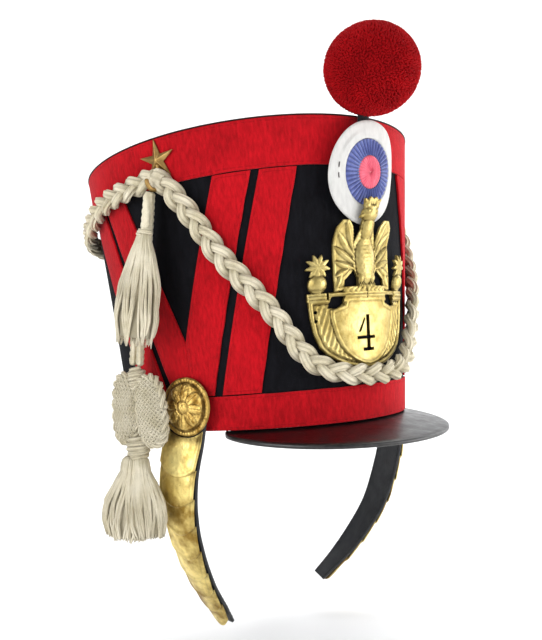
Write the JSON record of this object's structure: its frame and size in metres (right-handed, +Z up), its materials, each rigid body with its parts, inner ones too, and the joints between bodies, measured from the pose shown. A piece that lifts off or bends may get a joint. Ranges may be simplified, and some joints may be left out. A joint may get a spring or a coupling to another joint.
{
  "type": "shako hat",
  "caption": "Flaring black felt shako with red bands and chevrons, brass plate, cockade, pompom, plaited cords with tassels, peak and chin scales.",
  "frame": {"origin": "centre of the head opening, in the plane of the lower rim, where the hat sits on a head", "axes": "+Z up through the crown, -Y the front with plate and peak, -X the wearer's right with the tassels"},
  "size_m": [0.2456, 0.2745, 0.3662],
  "materials": {
    "felt_black": "dense matt black wool felt",
    "cloth_red": "woven scarlet wool cloth, matt",
    "leather_black": "black varnished leather, glossy",
    "stem_black": "black leather stem",
    "strap_leather": "smooth black strap leather",
    "brass_plate": "pale stamped brass, soft satin",
    "brass_trim": "worn gilt brass with dark patches",
    "cord_cream": "plaited off-white wool cord",
    "cockade_white": "white felt",
    "cockade_blue": "pleated mid-blue felt",
    "cockade_rose": "rose-red felt",
    "wool_red": "deep red clipped wool"
  },
  "bodies": {
    "root": {"crown_shell": "felt_black", "top_panel": "leather_black", "top_band": "cloth_red", "bottom_band": "cloth_red", "peak": "leather_black", "cockade_outer": "cockade_white", "cockade_middle": "cockade_blue", "cockade_centre": "cockade_rose", "pompom": "wool_red", "pompom_stem": "stem_black", "plate": "brass_plate", "plait_front": "cord_cream", "plait_back": "cord_cream", "drop_cord": "cord_cream", "tassel_upper": "cord_cream", "raquettes": "cord_cream", "tassels_lower": "cord_cream", "chevron_inner_right": "cloth_red", "chevron_front_right": "cloth_red", "chevron_back_right": "cloth_red", "star_hook_right": "brass_trim", "strap_right": "strap_leather", "boss_right": "brass_trim", "scale_right_1": "brass_trim", "scale_right_2": "brass_trim", "scale_right_3": "brass_trim", "scale_right_4": "brass_trim", "scale_right_5": "brass_trim", "scale_right_6": "brass_trim", "scale_right_7": "brass_trim", "scale_right_8": "brass_trim", "chevron_inner_left": "cloth_red", "chevron_front_left": "cloth_red", "chevron_back_left": "cloth_red", "star_hook_left": "brass_trim", "strap_left": "strap_leather", "boss_left": "brass_trim", "scale_left_1": "brass_trim", "scale_left_2": "brass_trim", "scale_left_3": "brass_trim", "scale_left_4": "brass_trim", "scale_left_5": "brass_trim", "scale_left_6": "brass_trim", "scale_left_7": "brass_trim", "scale_left_8": "brass_trim"}
  },
  "joints": []
}
